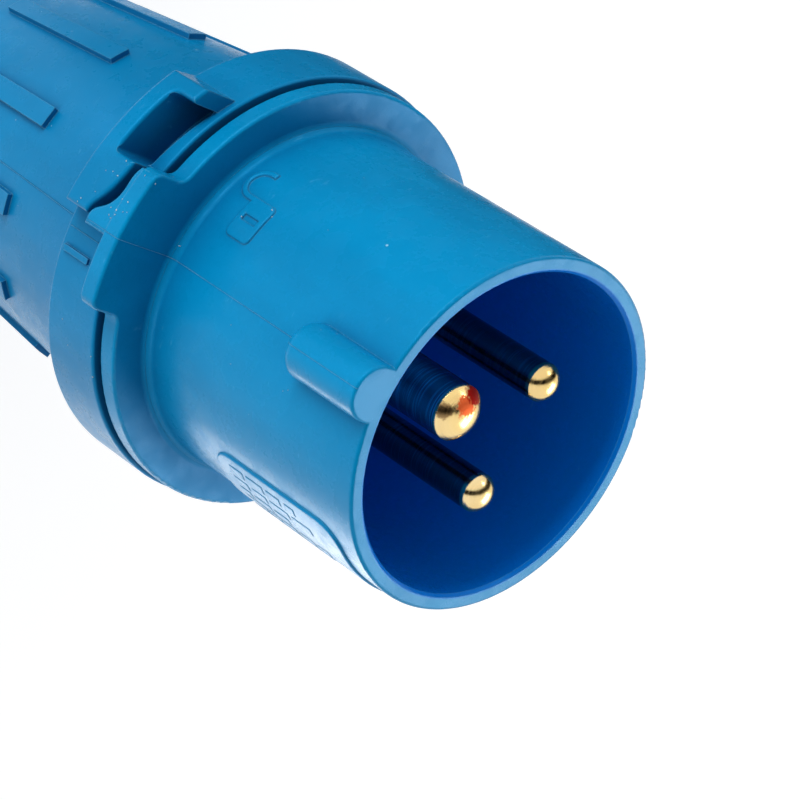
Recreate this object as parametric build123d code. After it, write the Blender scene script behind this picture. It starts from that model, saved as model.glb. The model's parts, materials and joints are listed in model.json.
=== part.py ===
from build123d import *
import math
import os

# Industrial pin and sleeve plug, two poles and earth, 16 A, blue.
# Millimetres and degrees. The plug stands on its gland nut with the mouth up: its axis is Z and z = 0 is
# the front face of the flange. Angles are given from the key rib, which points to -Y, and grow
# counter-clockwise seen from the mouth.

# Shroud and key rib
SHROUD_R = 23.2
SHROUD_WALL = 2.1
SHROUD_LENGTH = 39.5
RIM_ROUND = 0.4
RIM_CHAMFER = 0.4
BASE_FILLET = 1.2
KEY_DIRECTION = -90.0
KEY_WIDTH = 7.2
KEY_HEIGHT = 4.2
KEY_LENGTH = 13.3
KEY_END_ROUND = 1.6
KEY_FRONT_ROUND = 0.4

# Flange, its locking tab and the tab's nose
FLANGE_REACH = 5.2
FLANGE_THICK = 2.8
FLANGE_ROUND = 0.4
TAB_REACH = 4.5
TAB_WIDTH = 18.2
TAB_CORNER = 1.4
TAB_ROOT = 1.6
NOSE_THICK = 2.9
NOSE_SIDE = 0.6
NOSE_ROUND = 0.5
# The nose's rear edge: degrees from the key, depth behind the flange
NOSE_WAVE = [(0.0, 3.9), (2.4, 3.65), (4.6, 2.05), (8.6, 0.75), (12.6, 0.75), (15.2, 0.3)]

# Relief on the shroud
RELIEF = 0.3
RELIEF_ROUND = 0.25
PADLOCK_ANGLE = -22.0
PADLOCK_Z = 7.25
PADLOCK_WIDTH = 5.8
PADLOCK_HEIGHT = 4.3
PADLOCK_CORNER = 0.8
KEYHOLE_WIDTH = 0.8
KEYHOLE_LENGTH = 2.4
SHACKLE_R = 2.4
SHACKLE_BAR = 0.8
SHACKLE_LEG = 0.9
SHACKLE_FREE_LEG = 0.8
PANEL_START = 50.0
PANEL_END = 96.0
PANEL_LENGTH = 24.0
PANEL_BELOW_RIM = 3.7
PANEL_CORNER = 3.5

# Floor, skirt and bayonet lugs behind the flange
FLOOR_FRONT = 3.0
FLOOR_THICK = 6.0
FLOOR_FILLET = 1.0
SKIRT_STEP = 1.8
SKIRT_WALL = 2.5
SKIRT_LENGTH = 10.0
BAYONET_COUNT = 2
BAYONET_ANGLE = 90.0
BAYONET_WIDTH = 30.0
BAYONET_HEIGHT = 1.5
BAYONET_THICK = 3.0
BAYONET_TWIST = 30.0

# Contacts
PIN_CIRCLE_R = 8.9
PIN_SET_TURN = -5.5
LINE_PIN_D = 5.0
LINE_PIN_LENGTH = 35.6
LINE_TIP_DOME = 1.6
LINE_COLLAR_R = 4.8
LINE_BARREL_R = 4.0
LINE_WIRE_R = 2.0
EARTH_PIN_D = 7.2
EARTH_PIN_LENGTH = 37.8
EARTH_TIP_DOME = 1.9
EARTH_COLLAR_R = 5.8
EARTH_BARREL_R = 5.0
EARTH_WIRE_R = 2.4
TIP_EDGE = 0.4
PIN_ROOT = 0.3
COLLAR_THICK = 1.6
BARREL_LENGTH = 15.4
WIRE_DEPTH = 10.5
BARREL_CHAMFER = 0.4

# Terminal screws and their pressure pads
TERMINAL_SCREW_R = 2.0
TERMINAL_HEAD_R = 2.9
TERMINAL_HEAD = 2.0
TERMINAL_SETBACK = 5.5
TERMINAL_TRAVEL = 2.45
PAD_R = 1.7
PAD_THICK = 0.8
SLOT_WIDTH = 0.9
SLOT_DEPTH = 1.0

# Contact retainer
RETAINER_THICK = 4.0
BARRIER_THICK = 1.8
BARRIER_REACH = 12.0
BARRIER_DEPTH = 12.0
RETAINER_SCREWS = 3
RETAINER_SCREW_INSET = 6.1
RETAINER_SCREW_R = 1.4
RETAINER_SCREW_LENGTH = 8.0
RETAINER_HEAD_R = 2.6
RETAINER_HEAD = 1.9

# Seal and rear housing
GROOVE = 0.8
SEAL_WIDTH = 2.0
COLLAR_STEP = 0.5
COLLAR_LENGTH = 9.4
COLLAR_ROUND = 0.4
SHOULDER_DROP = 4.3
SHOULDER_LENGTH = 4.0
HANDLE_LENGTH = 45.0
HANDLE_END_R = 20.5
HOUSING_WALL = 2.6
WEB_THICK = 6.0
GRIP_COUNT = 12
GRIP_WIDTH = 7.0
GRIP_HEIGHT = 0.8
GRIP_FRONT_MARGIN = 14.0
GRIP_REAR_MARGIN = 7.0

# Lug on the collar, pry pocket and index bar
LUG_RISE = 3.9
LUG_ROUND = 0.5
LUG_REAR = 11.3
LUG_SLOPE_END = 14.5
# The lug's front edge beside the nose: degrees from the key, depth behind the flange's front face
LUG_WAVE = [(1.0, 7.25), (3.0, 6.95), (5.0, 6.25), (8.0, 5.3), (11.0, 4.85), (14.0, 4.65)]
LUG_FRONT = 4.65
POCKET_START = 15.2
POCKET_END = 33.0
POCKET_REAR = 8.5
POCKET_CORNER = 1.2
LUG_END = 37.5
WELL_DEPTH = 2.6
WELL_FRONT_LOW = 6.0
WELL_FRONT_HIGH = 4.9
INDEX_ANGLE = 10.3
INDEX_WIDTH = 0.8
INDEX_HEIGHT = 0.4
INDEX_START = 7.2
INDEX_LENGTH = 5.0

# Cable gland
NECK_R = 17.0
NECK_LENGTH = 18.0
GROMMET_R = 12.8
GROMMET_BORE_R = 6.5
GROMMET_LENGTH = 10.0
GROMMET_RINGS = 3
GROMMET_RING_DEPTH = 0.5
CABLE_R = 9.0
CAGE_LENGTH = 5.4
CAGE_WALL = 4.4
CAGE_SLOTS = 8
CAGE_SLOT_WIDTH = 1.4
CAGE_SLOT_DEPTH = 3.6
SLIP_THICK = 1.6
SLIP_WIDTH = 6.0
NUT_START = 2.0
NUT_LENGTH = 31.0
NUT_R = 22.0
NUT_END_R = 20.6
NUT_END_ROUND = 1.5
NUT_HOLE_R = 9.5
NUT_RIBS = 10
NUT_RIB_WIDTH = 9.0
NUT_RIB_HEIGHT = 2.0
NUT_RIB_END = 5.0

# Clearances
SPIGOT_CLEAR = 0.3
BAYONET_CLEAR = 0.3
PIN_CLEAR = 0.05
SCREW_CLEAR = 0.05
PLATE_CLEAR = 0.2
SEAT_CLEAR = 0.05
RUBBER_CLEAR = 0.2
THREAD_CLEAR = 0.08
SINK = 1.0

# Radii and places along the axis, from the driving dimensions
FLANGE_R = SHROUD_R + FLANGE_REACH
TAB_R = FLANGE_R + TAB_REACH
COLLAR_R = FLANGE_R + COLLAR_STEP
LUG_R = COLLAR_R + LUG_RISE
WELL_FLOOR_R = COLLAR_R - WELL_DEPTH
RIM = SHROUD_LENGTH
FLANGE_BACK = -FLANGE_THICK
FLOOR_BACK = FLOOR_FRONT - FLOOR_THICK
SKIRT_END = FLANGE_BACK - SKIRT_LENGTH
SKIRT_R = SHROUD_R + SKIRT_STEP
SKIRT_BORE_R = SKIRT_R - SKIRT_WALL
RETAINER_SCREW_CIRCLE = SKIRT_BORE_R - RETAINER_SCREW_INSET
HOUSING_FRONT = FLANGE_BACK - GROOVE
COLLAR_END = HOUSING_FRONT - COLLAR_LENGTH
SHOULDER_END = COLLAR_END - SHOULDER_LENGTH
SHOULDER_R = COLLAR_R - SHOULDER_DROP
HANDLE_END = SHOULDER_END - HANDLE_LENGTH
NECK_END = HANDLE_END - NECK_LENGTH
HOUSING_BORE_R = SKIRT_R + SPIGOT_CLEAR
COLLAR_ROOT_R = (COLLAR_R + HOUSING_BORE_R) / 2
GLAND_POCKET_R = GROMMET_R + RUBBER_CLEAR
GLAND_FLOOR = HANDLE_END - WEB_THICK / 2
CAVITY_END = HANDLE_END + WEB_THICK / 2
NUT_TOP = HANDLE_END - NUT_START
NUT_END = NUT_TOP - NUT_LENGTH
NUT_BORE_R = NECK_R + THREAD_CLEAR
GROMMET_END = GLAND_FLOOR - SEAT_CLEAR - GROMMET_LENGTH
CAGE_END = GROMMET_END - SEAT_CLEAR - CAGE_LENGTH
SLIP_TOP = CAGE_END - SEAT_CLEAR
NUT_SEAT = SLIP_TOP - SLIP_THICK - SEAT_CLEAR


def section(points):
    """A closed outline in the half plane through the axis, as (radius, z) points."""
    return Plane.XZ * make_face(Polyline(*points, close=True))


def turned(points):
    """A body of revolution about the plug's axis."""
    return revolve(section(points), Axis.Z, 360)


def tube(z0, z1, r_in, r_out):
    return turned([(r_in, z0), (r_out, z0), (r_out, z1), (r_in, z1)])


def rod(z0, z1, r, x=0.0):
    return Pos(x, 0, (z0 + z1) / 2) * Cylinder(r, z1 - z0)


def swept(points, start, end):
    """A turned profile between two angles from +X."""
    return Rot(0, 0, start) * revolve(section(points), Axis.Z, end - start)


def sector(z0, z1, r_in, r_out, start, end):
    return swept([(r_in, z0), (r_out, z0), (r_out, z1), (r_in, z1)], start, end)


def at_key(shape, angle=0.0):
    """Turns what was made along +X to an angle from the key."""
    return Rot(0, 0, KEY_DIRECTION + angle) * shape


def spoke(x0, x1, r, z):
    """A round bar along +X at height z."""
    return Pos((x0 + x1) / 2, 0, z) * Rot(0, 90, 0) * Cylinder(r, x1 - x0)


def rings(shape, radius, z):
    """The shape's circular edges of one radius at one height."""
    def matches(edge):
        return abs(edge.radius - radius) < 0.01 and abs(edge.arc_center.Z - z) < 0.01
    return shape.edges().filter_by(GeomType.CIRCLE).filter_by(matches)


def edges_on(shape, radius):
    """The shape's edges that lie on a cylinder about the plug's axis."""
    def lies_on(edge):
        spots = [edge.position_at(share) for share in (0.1, 0.5, 0.9)]
        return all(abs(math.hypot(spot.X, spot.Y) - radius) < 0.02 for spot in spots)
    return [edge for edge in shape.edges() if lies_on(edge)]


def across(radius, angle):
    """Sideways distance from the key's plane of a point on a cylinder. Positive angles are clockwise."""
    return -radius * math.sin(math.radians(angle))


def plan_prism(face):
    """A face drawn sideways against height, pushed out from the axis along +X."""
    return extrude(Plane.YZ * face, LUG_R + TAB_R)


def key_rib():
    """Half-round rib on the outside of the shroud, its front flush with the rim."""
    half = KEY_WIDTH / 2
    top = SHROUD_R + KEY_HEIGHT
    inner = SHROUD_R - SHROUD_WALL / 2
    foot = top - half - inner
    reach = top - inner
    crest = Pos(top - half, 0) * Circle(half) & Pos(inner + reach / 2, 0) * Rectangle(reach, KEY_WIDTH)
    profile = Pos(inner + foot / 2, 0) * Rectangle(foot, KEY_WIDTH) + crest
    rib = Pos(0, 0, RIM - KEY_LENGTH) * extrude(profile, KEY_LENGTH)
    outside = Axis.X
    rear = rib.faces().sort_by(Axis.Z)[0].edges().filter_by_position(outside, SHROUD_R, top)
    rib = fillet(rear, KEY_END_ROUND)
    front = rib.faces().sort_by(Axis.Z)[-1].edges().filter_by_position(outside, SHROUD_R, top)
    return at_key(fillet(front, KEY_FRONT_ROUND))


def flange_plate():
    """The flange with its locking tab, rounded along both edges."""
    reach = TAB_R + SINK
    tab = Pos(reach / 2, 0) * Rectangle(reach, TAB_WIDTH) & Circle(TAB_R)
    plate = Circle(FLANGE_R) + tab
    middle = (FLANGE_R + TAB_R) / 2
    plate = fillet(plate.vertices().filter_by_position(Axis.X, middle, reach), TAB_CORNER)
    plate = fillet(plate.vertices().filter_by_position(Axis.X, FLANGE_R / 2, FLANGE_R), TAB_ROOT)
    solid = Pos(0, 0, FLANGE_BACK) * extrude(plate, FLANGE_THICK)
    outline = solid.faces().sort_by(Axis.Z)[-1].edges() + solid.faces().sort_by(Axis.Z)[0].edges()
    return at_key(fillet(outline, FLANGE_ROUND))


def tab_nose():
    """The nose behind the padlock side of the tab, with its waved rear edge."""
    wave = [(across(TAB_R, angle), FLANGE_BACK - depth) for angle, depth in NOSE_WAVE]
    root = FLANGE_BACK + FLANGE_THICK / 2
    edge = Spline(*wave)
    first = edge.position_at(0)
    last = edge.position_at(1)
    side = Polyline((last.X, last.Y), (last.X, root), (NOSE_SIDE, root), (NOSE_SIDE, first.Y),
                    (first.X, first.Y))
    outer = TAB_R - FLANGE_ROUND / 4
    nose = plan_prism(make_face(edge + side)) & tube(FLANGE_BACK * 4, 0, TAB_R - NOSE_THICK, outer)
    behind = [e for e in edges_on(nose, outer) if e.center().Z < FLANGE_BACK]
    return at_key(fillet(behind, NOSE_ROUND))


def raised_on_shroud(face, low, angle):
    """A flat drawing as low relief on the shroud, with its upper edges rounded."""
    top = SHROUD_R + RELIEF
    relief = plan_prism(face) & tube(low, RIM, SHROUD_R - SINK, top)
    return at_key(fillet(edges_on(relief, top), RELIEF_ROUND), angle)


def padlock():
    """Open padlock in low relief near the flange."""
    body = RectangleRounded(PADLOCK_WIDTH, PADLOCK_HEIGHT, PADLOCK_CORNER)
    body -= Rectangle(KEYHOLE_WIDTH, KEYHOLE_LENGTH)
    inside = SHACKLE_R - SHACKLE_BAR
    arc = Circle(SHACKLE_R) - Circle(inside)
    below = Pos(0, SHACKLE_R) * Rectangle(SHACKLE_R * 2, SHACKLE_R * 2)
    middle = SHACKLE_R - SHACKLE_BAR / 2
    fixed_leg = SHACKLE_LEG + PADLOCK_CORNER
    legs = Pos(middle, fixed_leg / 2) * Rectangle(SHACKLE_BAR, fixed_leg)
    legs += Pos(-middle, SHACKLE_FREE_LEG / 2) * Rectangle(SHACKLE_BAR, SHACKLE_FREE_LEG)
    shackle = arc - below + legs
    corner = SHACKLE_BAR - PADLOCK_WIDTH / 2 - SHACKLE_R
    sign = body + Pos(corner, -PADLOCK_HEIGHT / 2 - SHACKLE_LEG) * shackle
    return raised_on_shroud(Pos(0, PADLOCK_Z) * sign, -SINK, PADLOCK_ANGLE)


def relief_panel():
    """Plain raised panel with round corners on the side of the shroud."""
    width = 2 * (SHROUD_R + RELIEF) * math.sin(math.radians(PANEL_END - PANEL_START) / 2)
    middle = RIM - PANEL_BELOW_RIM - PANEL_LENGTH / 2
    outline = Pos(0, middle) * RectangleRounded(width, PANEL_LENGTH, PANEL_CORNER)
    return raised_on_shroud(outline, 0, (PANEL_START + PANEL_END) / 2)


def bayonet_lugs():
    low = SKIRT_END
    lug = sector(low, low + BAYONET_THICK, SKIRT_R - SINK, SKIRT_R + BAYONET_HEIGHT,
                 -BAYONET_WIDTH / 2, BAYONET_WIDTH / 2)
    step = 360 / BAYONET_COUNT
    return [at_key(lug, BAYONET_ANGLE + step * i) for i in range(BAYONET_COUNT)]


def pin_angle(index):
    """Earth, line and neutral, from the key."""
    return PIN_SET_TURN + 120 * index


def retainer_screw_angle(index):
    return PIN_SET_TURN + 60 + 360 / RETAINER_SCREWS * index


def front_housing():
    bore = SHROUD_R - SHROUD_WALL
    body = turned([(0, FLOOR_FRONT), (bore, FLOOR_FRONT), (bore, RIM), (SHROUD_R, RIM),
                   (SHROUD_R, FLANGE_BACK), (SKIRT_R, FLANGE_BACK), (SKIRT_R, SKIRT_END),
                   (SKIRT_BORE_R, SKIRT_END), (SKIRT_BORE_R, FLOOR_BACK), (0, FLOOR_BACK)])
    body = fillet(rings(body, SHROUD_R, RIM), RIM_ROUND)
    body = chamfer(rings(body, bore, RIM), RIM_CHAMFER)
    body = fillet(rings(body, bore, FLOOR_FRONT), FLOOR_FILLET)
    body += flange_plate()
    body = fillet(rings(body, SHROUD_R, 0), BASE_FILLET)
    body += [key_rib(), tab_nose(), padlock(), relief_panel()]
    body += bayonet_lugs()
    for index, diameter in enumerate((EARTH_PIN_D, LINE_PIN_D, LINE_PIN_D)):
        hole = rod(FLOOR_BACK - SINK, FLOOR_FRONT + SINK, diameter / 2 + PIN_ROOT + PIN_CLEAR, PIN_CIRCLE_R)
        body -= at_key(hole, pin_angle(index))
    top = FLOOR_BACK - RETAINER_THICK + RETAINER_SCREW_LENGTH
    for index in range(RETAINER_SCREWS):
        hole = rod(FLOOR_BACK - SINK, top + SEAT_CLEAR, RETAINER_SCREW_R + SCREW_CLEAR, RETAINER_SCREW_CIRCLE)
        body -= at_key(hole, retainer_screw_angle(index))
    return body


def contact_pin(diameter, length, dome, collar_r, barrel_r, wire_r, angle):
    """Turned brass pin: domed tip, root in the floor, collar, terminal barrel with wire and screw holes."""
    r = diameter / 2
    tip = FLOOR_FRONT + length
    collar_end = FLOOR_BACK - COLLAR_THICK
    end = collar_end - BARREL_LENGTH
    shoulder = tip - dome
    crown_r = (r * r + dome * dome) / (2 * dome)
    lean = math.asin(r / crown_r) / 2
    crown = (crown_r * math.sin(lean), tip - crown_r * (1 - math.cos(lean)))
    root_r = r + PIN_ROOT
    outline = [ThreePointArc((0, tip), crown, (r, shoulder)),
               Polyline((r, shoulder), (r, FLOOR_FRONT), (root_r, FLOOR_FRONT), (root_r, FLOOR_BACK),
                        (collar_r, FLOOR_BACK), (collar_r, collar_end), (barrel_r, collar_end),
                        (barrel_r, end), (0, end), (0, tip))]
    pin = revolve(Plane.XZ * make_face(outline), Axis.Z, 360)
    pin = fillet(rings(pin, r, shoulder), TIP_EDGE)
    pin = chamfer(rings(pin, barrel_r, end), BARREL_CHAMFER)
    pin -= rod(end - SINK, end + WIRE_DEPTH, wire_r)
    pin -= spoke(0, barrel_r + SINK, TERMINAL_SCREW_R, end + TERMINAL_SETBACK)
    return at_key(Pos(PIN_CIRCLE_R, 0, 0) * pin, angle)


def terminal_height():
    return FLOOR_BACK - COLLAR_THICK - BARREL_LENGTH + TERMINAL_SETBACK


def clamp_pad(wire_r, angle):
    """Pressure pad, drawn back to the top of the wire hole."""
    inner = wire_r + SEAT_CLEAR
    pad = spoke(inner, inner + PAD_THICK, PAD_R, terminal_height())
    return at_key(Pos(PIN_CIRCLE_R, 0, 0) * pad, angle)


def terminal_screw(wire_r, barrel_r, angle):
    """Slotted screw, backed off by its full travel."""
    tip = wire_r + PAD_THICK + 2 * SEAT_CLEAR
    seat = barrel_r + TERMINAL_TRAVEL + SEAT_CLEAR
    top = seat + TERMINAL_HEAD
    height = terminal_height()
    screw = spoke(tip, seat + SINK, TERMINAL_SCREW_R - SCREW_CLEAR, height)
    screw += spoke(seat, top, TERMINAL_HEAD_R, height)
    slot = Pos(top, 0, height) * Box(SLOT_DEPTH * 2, SLOT_WIDTH, TERMINAL_HEAD_R * 3)
    return at_key(Pos(PIN_CIRCLE_R, 0, 0) * (screw - slot), angle)


def contact_retainer():
    """Plate that traps the pins' collars, with barrier walls between the terminals."""
    low = FLOOR_BACK - RETAINER_THICK
    plate = rod(low, FLOOR_BACK, SKIRT_BORE_R - PLATE_CLEAR)
    wall = Box(BARRIER_REACH, BARRIER_THICK, BARRIER_DEPTH)
    wall = Pos(BARRIER_REACH / 2, 0, low - BARRIER_DEPTH / 2) * wall
    for index in range(3):
        plate += at_key(wall, pin_angle(index) + 60)
    sizes = [(EARTH_BARREL_R, EARTH_COLLAR_R), (LINE_BARREL_R, LINE_COLLAR_R), (LINE_BARREL_R, LINE_COLLAR_R)]
    for index, (barrel_r, collar_r) in enumerate(sizes):
        step = FLOOR_BACK - COLLAR_THICK - SEAT_CLEAR
        hole = rod(low - SINK, FLOOR_BACK + SINK, barrel_r + PLATE_CLEAR, PIN_CIRCLE_R)
        hole += rod(step, FLOOR_BACK + SINK, collar_r + PLATE_CLEAR, PIN_CIRCLE_R)
        plate -= at_key(hole, pin_angle(index))
    for index in range(RETAINER_SCREWS):
        hole = rod(low - SINK, FLOOR_BACK + SINK, RETAINER_SCREW_R + SCREW_CLEAR, RETAINER_SCREW_CIRCLE)
        plate -= at_key(hole, retainer_screw_angle(index))
    return plate


def retainer_screw(index):
    seat = FLOOR_BACK - RETAINER_THICK
    head_end = seat - RETAINER_HEAD
    screw = rod(seat, seat + RETAINER_SCREW_LENGTH, RETAINER_SCREW_R) + rod(head_end, seat, RETAINER_HEAD_R)
    screw -= Pos(0, 0, head_end) * Box(SLOT_WIDTH, RETAINER_HEAD_R * 3, SLOT_DEPTH * 2)
    return at_key(Pos(RETAINER_SCREW_CIRCLE, 0, 0) * screw, retainer_screw_angle(index))


def housing_seal():
    inner = SKIRT_R + SEAT_CLEAR
    return tube(HOUSING_FRONT + SEAT_CLEAR, FLANGE_BACK, inner, inner + SEAL_WIDTH)


def handle_radius(z):
    share = (SHOULDER_END - z) / HANDLE_LENGTH
    return SHOULDER_R + (HANDLE_END_R - SHOULDER_R) * share


def lug():
    """Lug on the collar: the front edge follows the nose and then steps back round the pry pocket."""
    wave = [(across(LUG_R, angle), -depth) for angle, depth in LUG_WAVE]
    edge = Spline(*wave)
    first = edge.position_at(0)
    last = edge.position_at(1)
    rear = -LUG_SLOPE_END - SINK
    outline = Polyline((last.X, last.Y), (across(LUG_R, POCKET_START), last.Y),
                       (across(LUG_R, POCKET_START), -POCKET_REAR), (across(LUG_R, POCKET_END), -POCKET_REAR),
                       (across(LUG_R, POCKET_END), -LUG_FRONT), (across(LUG_R, LUG_END), -LUG_FRONT),
                       (across(LUG_R, LUG_END), rear), (first.X, rear), (first.X, first.Y))
    face = make_face(edge + outline)
    inner_corners = [v for v in face.vertices() if abs(v.Y + POCKET_REAR) < 0.01]
    face = fillet(inner_corners, POCKET_CORNER)
    land = turned([(COLLAR_ROOT_R, 0), (LUG_R, 0), (LUG_R, -LUG_REAR), (COLLAR_ROOT_R, -LUG_SLOPE_END)])
    body = plan_prism(face) & land
    return at_key(fillet(edges_on(body, LUG_R), LUG_ROUND))


def pry_well():
    """The deep part of the pry pocket, behind the collar's front lip."""
    start = across(LUG_R, POCKET_START)
    end = across(LUG_R, POCKET_END)
    face = make_face(Polyline((start, -WELL_FRONT_LOW), (start, -POCKET_REAR), (end, -POCKET_REAR),
                              (end, -WELL_FRONT_HIGH), close=True))
    face = fillet(face.vertices(), POCKET_CORNER / 2)
    return at_key(plan_prism(face) & tube(-POCKET_REAR - SINK, 0, WELL_FLOOR_R, LUG_R + SINK))


def bayonet_channels():
    """Entry slots from the collar's front, each with a turning channel that ends at the locked stop."""
    r_in = HOUSING_BORE_R - SINK
    r_out = SKIRT_R + BAYONET_HEIGHT + BAYONET_CLEAR
    low = SKIRT_END - BAYONET_CLEAR
    high = SKIRT_END + BAYONET_THICK + BAYONET_CLEAR
    half = BAYONET_WIDTH / 2 + math.degrees(BAYONET_CLEAR / SKIRT_R)
    channel = sector(low, high, r_in, r_out, -half, half + BAYONET_TWIST)
    entry = sector(high - SINK, HOUSING_FRONT + SINK, r_in, r_out, BAYONET_TWIST - half, BAYONET_TWIST + half)
    step = 360 / BAYONET_COUNT
    return [at_key(cut, BAYONET_ANGLE + step * i) for i in range(BAYONET_COUNT) for cut in (channel, entry)]


def grip_ribs():
    top = SHOULDER_END - GRIP_FRONT_MARGIN
    low = HANDLE_END + GRIP_REAR_MARGIN
    points = [(handle_radius(top) - SINK, top), (handle_radius(top) + GRIP_HEIGHT, top),
              (handle_radius(low) + GRIP_HEIGHT, low), (handle_radius(low) - SINK, low)]
    rib = swept(points, -GRIP_WIDTH / 2, GRIP_WIDTH / 2)
    return [at_key(rib, 360 / GRIP_COUNT * (i + 0.5)) for i in range(GRIP_COUNT)]


def rear_housing():
    body = turned([(HOUSING_BORE_R, HOUSING_FRONT), (COLLAR_R, HOUSING_FRONT), (COLLAR_R, COLLAR_END),
                   (SHOULDER_R, SHOULDER_END), (HANDLE_END_R, HANDLE_END), (NECK_R, HANDLE_END),
                   (NECK_R, NECK_END), (GLAND_POCKET_R, NECK_END), (GLAND_POCKET_R, GLAND_FLOOR),
                   (CABLE_R, GLAND_FLOOR), (CABLE_R, CAVITY_END),
                   (handle_radius(CAVITY_END) - HOUSING_WALL, CAVITY_END),
                   (SHOULDER_R - HOUSING_WALL, SHOULDER_END), (HOUSING_BORE_R, COLLAR_END)])
    body = fillet(rings(body, COLLAR_R, HOUSING_FRONT) + rings(body, COLLAR_R, COLLAR_END), COLLAR_ROUND)
    body += grip_ribs()
    body += lug()
    bar_r = COLLAR_R + INDEX_HEIGHT
    low = -INDEX_START - INDEX_LENGTH
    bar = Pos(bar_r - SINK, 0, low + INDEX_LENGTH / 2) * Box(SINK * 2, INDEX_WIDTH, INDEX_LENGTH)
    body += at_key(bar, INDEX_ANGLE)
    body -= pry_well()
    for cut in bayonet_channels():
        body -= cut
    return body


def cable_grommet():
    """Rubber sleeve with sealing rings in its bore."""
    top = GLAND_FLOOR - SEAT_CLEAR
    sleeve = tube(GROMMET_END, top, GROMMET_BORE_R, GROMMET_R)
    pitch = GROMMET_LENGTH / GROMMET_RINGS
    for i in range(GROMMET_RINGS - 1):
        z = top - pitch * (i + 1)
        groove = GROMMET_RING_DEPTH
        sleeve -= turned([(GROMMET_BORE_R - SINK, z - groove), (GROMMET_BORE_R + groove, z - groove),
                          (GROMMET_BORE_R + groove, z + groove), (GROMMET_BORE_R - SINK, z + groove)])
    return sleeve


def clamp_cage():
    """Slotted clamping ring that the gland nut presses on the grommet."""
    top = GROMMET_END - SEAT_CLEAR
    cage = tube(CAGE_END, top, GROMMET_R - CAGE_WALL, GROMMET_R)
    slot = Pos(GROMMET_R, 0, top - CAGE_SLOT_DEPTH / 2 + SINK) * Box(
        CAGE_WALL * 3, CAGE_SLOT_WIDTH, CAGE_SLOT_DEPTH + SINK * 2)
    for i in range(CAGE_SLOTS):
        cage -= at_key(slot, 360 / CAGE_SLOTS * i)
    return cage


def slip_ring():
    outer = NECK_R - PLATE_CLEAR
    return tube(SLIP_TOP - SLIP_THICK, SLIP_TOP, outer - SLIP_WIDTH, outer)


def gland_nut():
    body = turned([(NUT_BORE_R, NUT_TOP), (NUT_R, NUT_TOP), (NUT_END_R, NUT_END), (NUT_HOLE_R, NUT_END),
                   (NUT_HOLE_R, NUT_SEAT), (NUT_BORE_R, NUT_SEAT)])
    body = fillet(rings(body, NUT_END_R, NUT_END), NUT_END_ROUND)
    low = NUT_END + NUT_RIB_END
    slope = (NUT_R - NUT_END_R) / NUT_LENGTH
    low_r = NUT_END_R + slope * NUT_RIB_END
    points = [(low_r - SINK, low), (low_r + NUT_RIB_HEIGHT, low + NUT_RIB_HEIGHT),
              (NUT_R + NUT_RIB_HEIGHT, NUT_TOP - NUT_RIB_HEIGHT), (NUT_R - SINK, NUT_TOP)]
    rib = swept(points, -NUT_RIB_WIDTH / 2, NUT_RIB_WIDTH / 2)
    body += [at_key(rib, 360 / NUT_RIBS * i) for i in range(NUT_RIBS)]
    return body


nodes = {
    "front_housing": front_housing(),
    "contact_retainer": contact_retainer(),
    "housing_seal": housing_seal(),
    "rear_housing": rear_housing(),
    "cable_grommet": cable_grommet(),
    "clamp_cage": clamp_cage(),
    "slip_ring": slip_ring(),
    "gland_nut": gland_nut(),
}
EARTH_SIZES = (EARTH_PIN_D, EARTH_PIN_LENGTH, EARTH_TIP_DOME, EARTH_COLLAR_R, EARTH_BARREL_R, EARTH_WIRE_R)
LINE_SIZES = (LINE_PIN_D, LINE_PIN_LENGTH, LINE_TIP_DOME, LINE_COLLAR_R, LINE_BARREL_R, LINE_WIRE_R)
contacts = {"earth": EARTH_SIZES, "line": LINE_SIZES, "neutral": LINE_SIZES}
for index, (name, sizes) in enumerate(contacts.items()):
    *_, barrel_r, wire_r = sizes
    nodes[name + "_pin"] = contact_pin(*sizes, pin_angle(index))
    nodes[name + "_clamp_pad"] = clamp_pad(wire_r, pin_angle(index))
    nodes[name + "_terminal_screw"] = terminal_screw(wire_r, barrel_r, pin_angle(index))
for index in range(RETAINER_SCREWS):
    nodes[f"retainer_screw_{index + 1}"] = retainer_screw(index)

os.makedirs("parts", exist_ok=True)
for name, solid in nodes.items():
    export_step(solid, f"parts/{name}.step")
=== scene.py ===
import json
import math
import random

import bpy
from mathutils import Matrix, Vector
from mathutils.bvhtree import BVHTree


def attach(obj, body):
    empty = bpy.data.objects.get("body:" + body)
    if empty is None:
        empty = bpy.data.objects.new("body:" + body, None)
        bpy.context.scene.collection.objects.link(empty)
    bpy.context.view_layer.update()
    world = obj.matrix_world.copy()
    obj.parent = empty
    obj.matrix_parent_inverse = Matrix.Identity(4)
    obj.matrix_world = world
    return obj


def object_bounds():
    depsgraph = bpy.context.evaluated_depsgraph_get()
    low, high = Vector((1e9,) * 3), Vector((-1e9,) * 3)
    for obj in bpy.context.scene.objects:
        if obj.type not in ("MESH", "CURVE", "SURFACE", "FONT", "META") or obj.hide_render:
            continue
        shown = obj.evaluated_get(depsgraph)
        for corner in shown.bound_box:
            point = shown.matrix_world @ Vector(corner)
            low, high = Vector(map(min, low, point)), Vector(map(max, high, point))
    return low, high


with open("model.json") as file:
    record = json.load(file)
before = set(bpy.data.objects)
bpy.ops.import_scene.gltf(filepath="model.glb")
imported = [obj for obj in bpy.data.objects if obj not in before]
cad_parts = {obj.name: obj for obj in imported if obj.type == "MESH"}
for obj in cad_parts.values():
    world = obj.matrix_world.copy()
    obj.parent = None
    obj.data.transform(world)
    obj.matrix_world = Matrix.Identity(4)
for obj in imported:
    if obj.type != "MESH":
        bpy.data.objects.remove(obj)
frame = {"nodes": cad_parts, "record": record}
cad_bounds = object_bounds()

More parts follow.
